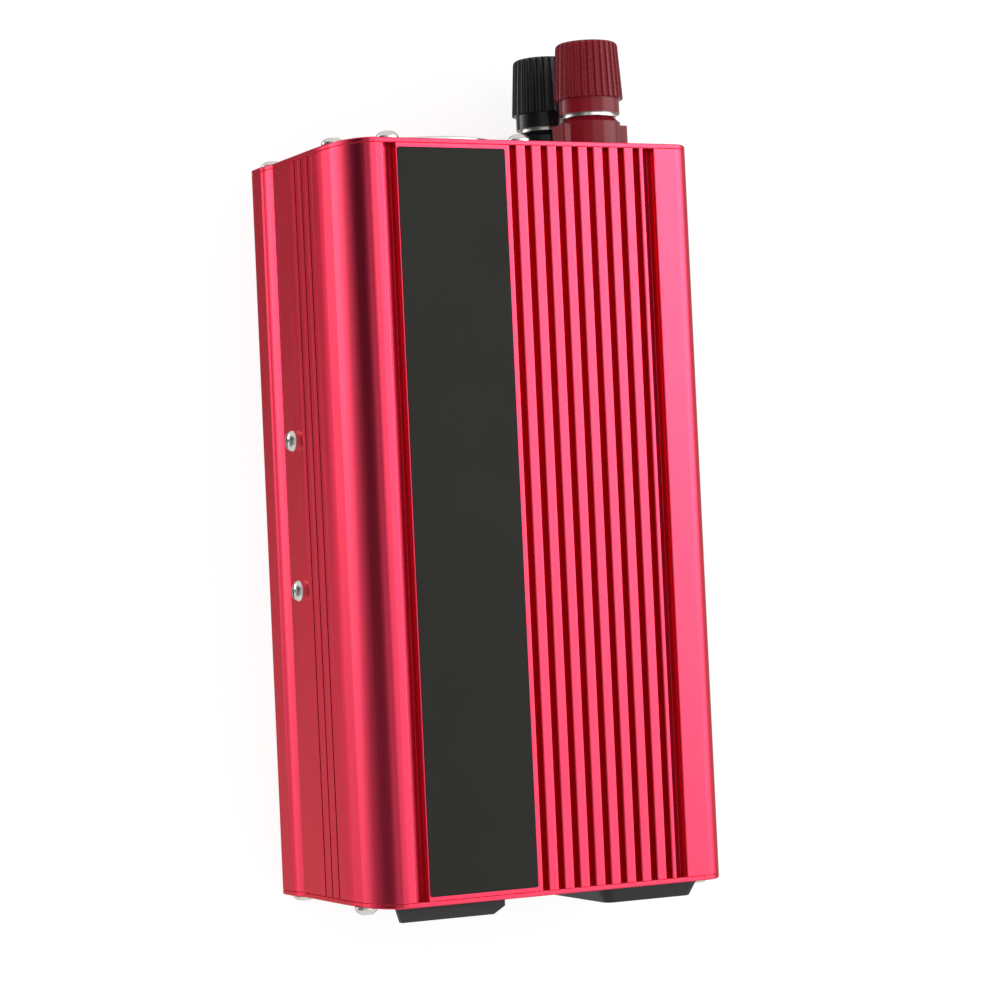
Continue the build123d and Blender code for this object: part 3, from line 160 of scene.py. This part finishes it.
def anodised(name, deep, pale, streaks, groove_shade):
    """Dyed anodised aluminium: fine blasted grain, faint lines along the extrusion, and edges painted paler,
    partly as rubbed wear and partly as a painted edge highlight.
    streaks is how far the lines are drawn out, and groove_shade how strongly painted shade darkens the walls
    of the top's grooves."""
    g = Graph(name)
    lines = g.noise(1500, 3, 0.6, (1, streaks, 1))
    cloud = g.noise(38, 3, 0.55, (1, 0.35, 1))
    speck = g.noise(2600, 2, 0.6)
    tone = g.mix(g.spread(lines, 0.3, 0.7, 0, 1), deep, pale)
    tone = g.mix(g.spread(cloud, 0.3, 0.7, 0, 0.35), tone, deep)
    # edges painted paler and pinker: partly rubbed wear, partly a painted edge highlight, broken up by noise
    rubbed_and_highlight_patches = g.spread(g.noise(420, 3, 0.6), 0.35, 0.7, 0.1, 0.6)
    wear_and_highlight = g.math("MULTIPLY", g.edges(0.25 * MM, 0.02, 0.35), rubbed_and_highlight_patches)
    tone = g.mix(wear_and_highlight, tone, RUBBED_AND_HIGHLIGHT_RED)
    # painted shade: the walls of the top's grooves are painted darker and deeper red, where shade falls in
    # them
    height = g.axis("Z")
    below_top = g.spread(height, GROOVE_FLOOR + 1.8 * MM, GROOVE_FLOOR + 3.2 * MM, 1, 0)
    within = g.spread(g.math("ABSOLUTE", g.axis("X")), GROOVE_REACH, GROOVE_REACH + 0.2 * MM, 1, 0)
    above_floor = g.spread(height, GROOVE_FLOOR + 0.1 * MM, GROOVE_FLOOR + 0.3 * MM, 0, groove_shade)
    walls = g.math("MULTIPLY", g.math("MULTIPLY", below_top, within), above_floor)
    tone = g.mix(walls, tone, GROOVE_SHADE_RED)
    rough = g.math("ADD", g.spread(lines, 0.3, 0.7, 0.17, 0.23), g.spread(speck, 0.3, 0.7, -0.02, 0.04))
    surface = g.math("ADD", g.math("MULTIPLY", speck, 0.7), g.math("MULTIPLY", lines, 0.3))
    normal = g.bump(surface, 0.03 * MM, 0.35, g.bevel(0.2 * MM))
    return g.finish(Base_Color=tone, Metallic=1.0, Roughness=rough, Normal=normal,
                    Specular_Tint=colour(1.0, 0.16, 0.24),
                    Coat_Weight=0.52, Coat_Roughness=0.11, Coat_IOR=1.5)


def plated(name, base, rough, scratch=0.06):
    """Bright plated steel with hairline scratches and faint cloudiness."""
    g = Graph(name)
    hair = g.noise(900, 4, 0.7, (1, 6, 1))
    cloud = g.noise(160, 3, 0.5)
    tone = g.mix(g.spread(cloud, 0.3, 0.7, 0, 0.5), base, colour(*[0.78 * c for c in base[:3]]))
    roughness = g.math("ADD", g.spread(hair, 0.35, 0.7, rough, rough + scratch),
                       g.spread(cloud, 0.3, 0.7, 0, 0.05))
    return g.finish(Base_Color=tone, Metallic=1.0, Roughness=roughness,
                    Normal=g.bump(hair, 0.02 * MM, 0.15, g.bevel(0.15 * MM)))


def moulded(name, base, rough, texture=1800, depth=0.03, strength=0.25, specular=0.5):
    """Moulded plastic: fine spark texture, slight colour cloud, edges worn a little smoother, and painted
    paler, partly as wear and partly as a painted edge highlight.
    """
    g = Graph(name)
    fine = g.noise(texture, 3, 0.6)
    cloud = g.noise(60, 3, 0.5)
    tone = g.mix(g.spread(cloud, 0.3, 0.7, 0, 0.5), base, colour(*[1.25 * c + 0.001 for c in base[:3]]))
    # edges painted paler: partly wear, partly a painted edge highlight, broken up by noise
    wear_and_highlight = g.math("MULTIPLY", g.edges(0.3 * MM, 0.02, 0.4), g.spread(g.noise(500, 3, 0.6), 0.4, 0.7, 0, 0.15))
    tone = g.mix(wear_and_highlight, tone, colour(*[min(1, 2.2 * c + 0.03) for c in base[:3]]))
    roughness = g.math("SUBTRACT", g.spread(fine, 0.3, 0.7, rough - 0.04, rough + 0.06),
                       g.math("MULTIPLY", wear_and_highlight, 0.5))
    return g.finish(Base_Color=tone, Roughness=roughness, Specular_IOR_Level=specular,
                    Normal=g.bump(fine, depth * MM, strength, g.bevel(0.2 * MM)))


def phenolic(name, base, satin, specular):
    """Terminal moulding: polished below the grip and satin on it."""
    g = Graph(name)
    fine = g.noise(1500, 3, 0.6)
    cloud = g.noise(90, 3, 0.5)
    tone = g.mix(g.spread(cloud, 0.3, 0.7, 0, 0.6), base, colour(*[1.3 * c + 0.001 for c in base[:3]]))
    # edges painted paler: partly wear, partly a painted edge highlight, broken up by noise
    wear_and_highlight = g.math("MULTIPLY", g.edges(0.3 * MM, 0.02, 0.4), g.spread(g.noise(600, 3, 0.6), 0.4, 0.7, 0, 0.25))
    tone = g.mix(wear_and_highlight, tone, colour(*[min(1, 2.0 * c + 0.03) for c in base[:3]]))
    grip = g.spread(g.axis("Y"), GRIP_START - 0.2 * MM, GRIP_START + 0.2 * MM, 0.13, satin)
    roughness = g.math("ADD", grip, g.spread(fine, 0.3, 0.7, -0.03, 0.05))
    return g.finish(Base_Color=tone, Roughness=roughness, Specular_IOR_Level=specular,
                    Normal=g.bump(fine, 0.02 * MM, 0.2, g.bevel(0.25 * MM)))


def vinyl(name, base):
    """Bare matt label film: fine print grain and a slight sheen that varies."""
    g = Graph(name)
    fine = g.noise(3200, 2, 0.6)
    broad = g.noise(45, 3, 0.5)
    tone = g.mix(g.spread(broad, 0.3, 0.7, 0, 0.6), base, colour(*[1.25 * c for c in base[:3]]))
    tone = g.mix(g.spread(fine, 0.35, 0.65, 0, 0.3), tone, colour(*[0.7 * c for c in base[:3]]))
    rough = g.math("ADD", g.spread(broad, 0.3, 0.7, 0.5, 0.58), g.spread(fine, 0.3, 0.7, -0.03, 0.05))
    return g.finish(Base_Color=tone, Roughness=rough, Specular_IOR_Level=0.17,
                    Normal=g.bump(fine, 0.012 * MM, 0.25, g.bevel(0.08 * MM)))


def board(name):
    """Solder-masked board: copper tracks show through the mask as slightly paler bands, with tinned pads."""
    g = Graph(name)
    weave = g.noise(900, 2, 0.5)
    bricks = g.node("ShaderNodeTexBrick", offset=0.5)
    for key, value in (("Scale", 90.0), ("Mortar Size", 0.022), ("Color1", colour(0.012, 0.11, 0.035)),
                       ("Color2", colour(0.016, 0.14, 0.045)), ("Mortar", colour(0.006, 0.06, 0.02))):
        bricks.inputs[key].default_value = value
    g.link(g.coord, bricks.inputs["Vector"])
    dots = g.node("ShaderNodeTexVoronoi", feature="F1")
    dots.inputs["Scale"].default_value = 260
    g.link(g.coord, dots.inputs["Vector"])
    pads = g.spread(dots.outputs["Distance"], 0.12, 0.16, 1, 0)
    tone = g.mix(pads, bricks.outputs["Color"], colour(0.62, 0.62, 0.6))
    return g.finish(Base_Color=tone, Metallic=g.math("MULTIPLY", pads, 0.9), Roughness=0.3,
                    Normal=g.bump(weave, 0.02 * MM, 0.2, g.bevel(0.1 * MM)))


def wound(name, base, shaded_gap, pitch, direction, metal):
    """Wire laid side by side: a bump and a tone that repeat at the wire's pitch, with painted shade in the
    gaps between the wires.
    """
    g = Graph(name)
    wave = g.node("ShaderNodeTexWave", wave_type="BANDS", bands_direction=direction)
    wave.inputs["Scale"].default_value = 0.314 / pitch
    wave.inputs["Distortion"].default_value = 0.35
    g.link(g.coord, wave.inputs["Vector"])
    fac = wave.outputs["Fac"]
    # painted shade: darker copper in the creases between neighbouring wires
    tone = g.mix(g.spread(fac, 0.05, 0.6, 0, 1), shaded_gap, base)
    return g.finish(Base_Color=tone, Metallic=metal, Roughness=0.32,
                    Normal=g.bump(fac, 0.25 * MM, 0.6), Coat_Weight=0.4, Coat_Roughness=0.15)


def lamp(name, left, right):
    """Tinted lens: one lamp of each colour, told apart by the side of the case it sits on."""
    g = Graph(name)
    side = g.spread(g.axis("X"), -0.1 * MM, 0.1 * MM, 0, 1)
    haze = g.noise(700, 2, 0.5)
    tone = g.mix(side, left, right)
    tone = g.mix(g.spread(haze, 0.3, 0.7, 0, 0.25), tone, colour(0.9, 0.9, 0.85))
    return g.finish(Base_Color=tone, Roughness=0.12, Subsurface_Weight=0.4, Subsurface_Scale=1.0 * MM,
                    Coat_Weight=1.0, Coat_Roughness=0.05)


GRIP_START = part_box("red_knob")[0].y + 3.9 * MM     # the fluted grip begins above the knob's collar
RED = colour(0.82, 0.036, 0.095)
DEEP_RED = colour(0.74, 0.028, 0.080)
PLATE_RED = colour(0.80, 0.034, 0.090)
MATERIALS = {
    "anodised_case": anodised("anodised_case", DEEP_RED, RED, 0.02, 0.7),
    "anodised_plate": anodised("anodised_plate", DEEP_RED, PLATE_RED, 1.0, 0.0),
    "label_vinyl": vinyl("label_vinyl", colour(0.0115, 0.0112, 0.0088)),
    "nickel_screws": plated("nickel_screws", colour(0.74, 0.72, 0.68), 0.16),
    "chrome_wire": plated("chrome_wire", colour(0.80, 0.79, 0.77), 0.08, 0.04),
    "zinc_steel": plated("zinc_steel", colour(0.60, 0.60, 0.57), 0.34),
    "epoxy_black": moulded("epoxy_black", colour(0.016, 0.016, 0.017), 0.5),
    "thermal_pad": moulded("thermal_pad", colour(0.42, 0.43, 0.45), 0.75),
    "circuit_board": board("circuit_board"),
    "bobbin_plastic": moulded("bobbin_plastic", colour(0.022, 0.022, 0.022), 0.45),
    "ferrite": moulded("ferrite", colour(0.055, 0.055, 0.06), 0.6, 900, 0.06, 0.4),
    "winding_tape": moulded("winding_tape", colour(0.72, 0.47, 0.05), 0.3, 300, 0.05, 0.3),
    "copper_wire": wound("copper_wire", colour(0.62, 0.22, 0.07), colour(0.12, 0.03, 0.01),
                         1.6 * MM, "X", 0.8),
    "copper_bar": plated("copper_bar", colour(0.80, 0.42, 0.25), 0.28),
    "capacitor_sleeve": moulded("capacitor_sleeve", colour(0.014, 0.016, 0.05), 0.28, 700, 0.02, 0.2),
    "toroid_coating": moulded("toroid_coating", colour(0.66, 0.53, 0.08), 0.45, 500, 0.05, 0.3),
    "fuse_plastic": moulded("fuse_plastic", colour(0.02, 0.25, 0.05), 0.2),
    "black_plastic": moulded("black_plastic", colour(0.012, 0.0117, 0.0135), 0.40, 1500, 0.04, 0.35, 0.3),
    "fan_plastic": moulded("fan_plastic", colour(0.014, 0.014, 0.015), 0.38, 1200, 0.03, 0.3),
    "red_phenolic": phenolic("red_phenolic", colour(0.200, 0.0055, 0.013), 0.27, 0.24),
    "black_phenolic": phenolic("black_phenolic", colour(0.0060, 0.0072, 0.009), 0.30, 0.4),
    "brass_insert": plated("brass_insert", colour(0.80, 0.60, 0.28), 0.25),
    "nickel_washer": plated("nickel_washer", colour(0.80, 0.78, 0.73), 0.12, 0.08),
    "white_nylon": moulded("white_nylon", colour(0.68, 0.67, 0.62), 0.45),
    "contact_brass": plated("contact_brass", colour(0.80, 0.62, 0.30), 0.25),
    "usb_steel": plated("usb_steel", colour(0.70, 0.70, 0.69), 0.2),
    "usb_tongue_plastic": moulded("usb_tongue_plastic", colour(0.60, 0.62, 0.64), 0.4),
    "switch_plastic": moulded("switch_plastic", colour(0.014, 0.014, 0.015), 0.3, 1300, 0.02, 0.25),
    "lamp_epoxy": lamp("lamp_epoxy", colour(0.05, 0.45, 0.08), colour(0.60, 0.03, 0.02)),
    "lead_insulation": moulded("lead_insulation", colour(0.03, 0.03, 0.032), 0.42, 500, 0.02, 0.2),
}
slot_of = {part["node"]: part["material_slot"] for part in frame["record"]["subparts"]}
for name, cad in nodes.items():
    cad.data.materials.clear()
    cad.data.materials.append(MATERIALS[slot_of[name]])


# ------------------------------------------------------------------ floor, light and camera
FLOOR_HALF = 4.0                        # metres
FLOOR_WHITE = colour(0.8, 0.8, 0.8)
FLOOR_SHADED = colour(0.30, 0.30, 0.30) # the share of the floor's white that a shadow takes away
FLOOR_LIFT = 0.80


def floor_material():
    """White floor: plain diffuse for bounced light, lifted to white for the camera with the shadow kept.
    Polished metal looks through it at the studio, whose lower half is drawn in the world."""
    material = bpy.data.materials.new("floor")
    material.use_nodes = True
    tree = material.node_tree
    tree.nodes.clear()
    out = tree.nodes.new("ShaderNodeOutputMaterial")
    plain = tree.nodes.new("ShaderNodeBsdfDiffuse")
    plain.inputs["Color"].default_value = FLOOR_WHITE
    shadowed = tree.nodes.new("ShaderNodeBsdfDiffuse")
    shadowed.inputs["Color"].default_value = FLOOR_SHADED
    lift = tree.nodes.new("ShaderNodeEmission")
    lift.inputs["Color"].default_value = colour(1, 1, 1)
    lift.inputs["Strength"].default_value = FLOOR_LIFT
    clear = tree.nodes.new("ShaderNodeBsdfTransparent")
    both = tree.nodes.new("ShaderNodeAddShader")
    path = tree.nodes.new("ShaderNodeLightPath")
    pick = tree.nodes.new("ShaderNodeMixShader")
    through = tree.nodes.new("ShaderNodeMixShader")
    tree.links.new(shadowed.outputs[0], both.inputs[0])
    tree.links.new(lift.outputs[0], both.inputs[1])
    tree.links.new(path.outputs["Is Camera Ray"], pick.inputs[0])
    tree.links.new(plain.outputs[0], pick.inputs[1])
    tree.links.new(both.outputs[0], pick.inputs[2])
    tree.links.new(path.outputs["Is Glossy Ray"], through.inputs[0])
    tree.links.new(pick.outputs[0], through.inputs[1])
    tree.links.new(clear.outputs[0], through.inputs[2])
    tree.links.new(through.outputs[0], out.inputs["Surface"])
    return material


def make_floor():
    half = FLOOR_HALF
    mesh = bpy.data.meshes.new("floor")
    corners = [(-half, -half, 0), (half, -half, 0), (half, half, 0), (-half, half, 0)]
    mesh.from_pydata(corners, [], [(0, 1, 2, 3)])
    floor = bpy.data.objects.new("floor", mesh)
    floor.location.z = cad_low.z
    bpy.context.scene.collection.objects.link(floor)
    mesh.materials.append(floor_material())


# What polished metal sees of the studio, as (angle, strength at the terminal end, strength at the outlet
# end).  The angle runs across the case: 0 is the left horizon, 90 overhead, 180 the right horizon, and
# negative angles lie below.
STUDIO = ((-180, 0.9, 0.9), (-150, 0.5, 0.5), (-100, 0.5, 0.6), (-80, 0.28, 0.66), (-66, 0.28, 0.66),
          (-60, 0.42, 0.62), (-57, 1.6, 0.85), (-53, 3.2, 1.25), (-46, 2.7, 1.05), (-41, 2.25, 0.84),
          (-35, 1.5, 0.6), (-29, 1.0, 0.42), (-22, 0.6, 0.34), (-15, 0.34, 0.29), (-5, 0.12, 0.2),
          (2, 0.07, 0.19), (23, 0.07, 0.2), (35, 0.18, 0.36), (49, 0.52, 0.64), (60, 0.42, 0.5),
          (66, 0.4, 0.5), (74, 1.1, 0.75), (80, 1.6, 0.92), (108, 1.65, 0.93), (114, 1.95, 1.1),
          (117, 3.0, 1.5), (120, 4.6, 1.8), (150, 4.2, 1.9), (165, 3.0, 1.5), (180, 0.9, 0.9))
STUDIO_PEAK = 5.0
STUDIO_ENDS = 0.9                       # what a face that looks along the case mirrors
OUTLET_TO_TERMINAL = (-0.14, 0.16)      # along-the-case share of a direction, from one column to the other
SIDES_TO_ENDS = (0.45, 0.8)             # the same share, from the sides' light to the ends' light


def make_world():
    """A dome for metal to mirror, brightest at the terminal end, and a plain soft light for the rest."""
    world = bpy.data.worlds.new("studio")
    bpy.context.scene.world = world
    world.use_nodes = True
    tree = world.node_tree
    tree.nodes.clear()

    def node(kind, **settings):
        made = tree.nodes.new(kind)
        for key, value in settings.items():
            setattr(made, key, value)
        return made

    def calc(operation, first, second=0.0):
        made = node("ShaderNodeMath", operation=operation)
        for index, value in enumerate((first, second)):
            if isinstance(value, bpy.types.NodeSocket):
                tree.links.new(value, made.inputs[index])
            else:
                made.inputs[index].default_value = value
        return made.outputs[0]

    def ranged(value, low, high, to_low, to_high):
        made = node("ShaderNodeMapRange", clamp=True, interpolation_type="SMOOTHSTEP")
        tree.links.new(value, made.inputs["Value"])
        for key, amount in (("From Min", low), ("From Max", high), ("To Min", to_low), ("To Max", to_high)):
            made.inputs[key].default_value = amount
        return made.outputs["Result"]

    def ramp(value, column):
        made = node("ShaderNodeValToRGB")
        elements = made.color_ramp.elements
        while len(elements) < len(STUDIO):
            elements.new(0.5)
        for element, row in zip(elements, STUDIO):
            level = row[column] / STUDIO_PEAK
            element.position = (row[0] + 180) / 360
            element.color = colour(level, level, level)
        tree.links.new(value, made.inputs["Fac"])
        return made.outputs["Color"]

    def blend(factor, first, second):
        made = node("ShaderNodeMix", data_type="FLOAT")
        for socket, value in ((made.inputs[0], factor), (made.inputs[2], first), (made.inputs[3], second)):
            if isinstance(value, bpy.types.NodeSocket):
                tree.links.new(value, socket)
            else:
                socket.default_value = value
        return made.outputs[0]

    split = node("ShaderNodeSeparateXYZ")
    tree.links.new(node("ShaderNodeTexCoord").outputs["Generated"], split.inputs[0])
    x, y, z = split.outputs["X"], split.outputs["Y"], split.outputs["Z"]
    angle = calc("ARCTAN2", z, calc("MULTIPLY", x, -1.0))
    turn = calc("ADD", calc("DIVIDE", angle, 2 * math.pi), 0.5)
    across = blend(ranged(y, *OUTLET_TO_TERMINAL, 0, 1), ramp(turn, 2), ramp(turn, 1))
    mirrored = blend(ranged(calc("ABSOLUTE", y), *SIDES_TO_ENDS, 0, 1), across, STUDIO_ENDS / STUDIO_PEAK)
    path = node("ShaderNodeLightPath")
    glossy = node("ShaderNodeBackground")
    tree.links.new(calc("MULTIPLY", mirrored, STUDIO_PEAK), glossy.inputs["Strength"])
    soft = node("ShaderNodeBackground")
    tree.links.new(ranged(z, -0.1, 0.6, 0.55, 1.0), soft.inputs["Strength"])
    seen = node("ShaderNodeBackground")
    seen.inputs["Strength"].default_value = 1.0
    for background in (glossy, soft, seen):
        background.inputs["Color"].default_value = colour(1, 1, 1)
    shiny = node("ShaderNodeMixShader")
    tree.links.new(path.outputs["Is Glossy Ray"], shiny.inputs[0])
    tree.links.new(soft.outputs[0], shiny.inputs[1])
    tree.links.new(glossy.outputs[0], shiny.inputs[2])
    pick = node("ShaderNodeMixShader")
    tree.links.new(path.outputs["Is Camera Ray"], pick.inputs[0])
    tree.links.new(shiny.outputs[0], pick.inputs[1])
    tree.links.new(seen.outputs[0], pick.inputs[2])
    tree.links.new(pick.outputs[0], node("ShaderNodeOutputWorld").inputs["Surface"])


CAMERA_TURN = 0.455735                  # radians about the case's length, towards its left side
CAMERA_NOD = -0.02659                   # towards the outlet end
CAMERA_ROLL = 0.045836
CAMERA_PLACE = Vector((15.00344, 6.675207, 820.245368)) * MM    # right, up and back, as the camera sees
CAMERA_SENSOR = 36.0                    # millimetres
CAMERA_LENS = 109.516


def make_camera():
    """Camera above the finned face, turned about 26 degrees towards the left side of the case."""
    to_camera = (Matrix.Rotation(CAMERA_ROLL, 3, "Z") @ Matrix.Rotation(CAMERA_NOD, 3, "X")
                 @ Matrix.Rotation(CAMERA_TURN, 3, "Y"))
    back = to_camera.transposed()
    place = back @ CAMERA_PLACE
    data = bpy.data.cameras.new("camera")
    data.sensor_width = CAMERA_SENSOR
    data.lens = CAMERA_LENS
    data.clip_start = 0.01
    data.clip_end = 20.0
    camera = bpy.data.objects.new("camera", data)
    camera.matrix_world = Matrix.Translation(place) @ back.to_4x4()
    bpy.context.scene.collection.objects.link(camera)
    bpy.context.scene.camera = camera


make_floor()
make_world()
make_camera()
bpy.context.scene.view_settings.view_transform = "Standard"
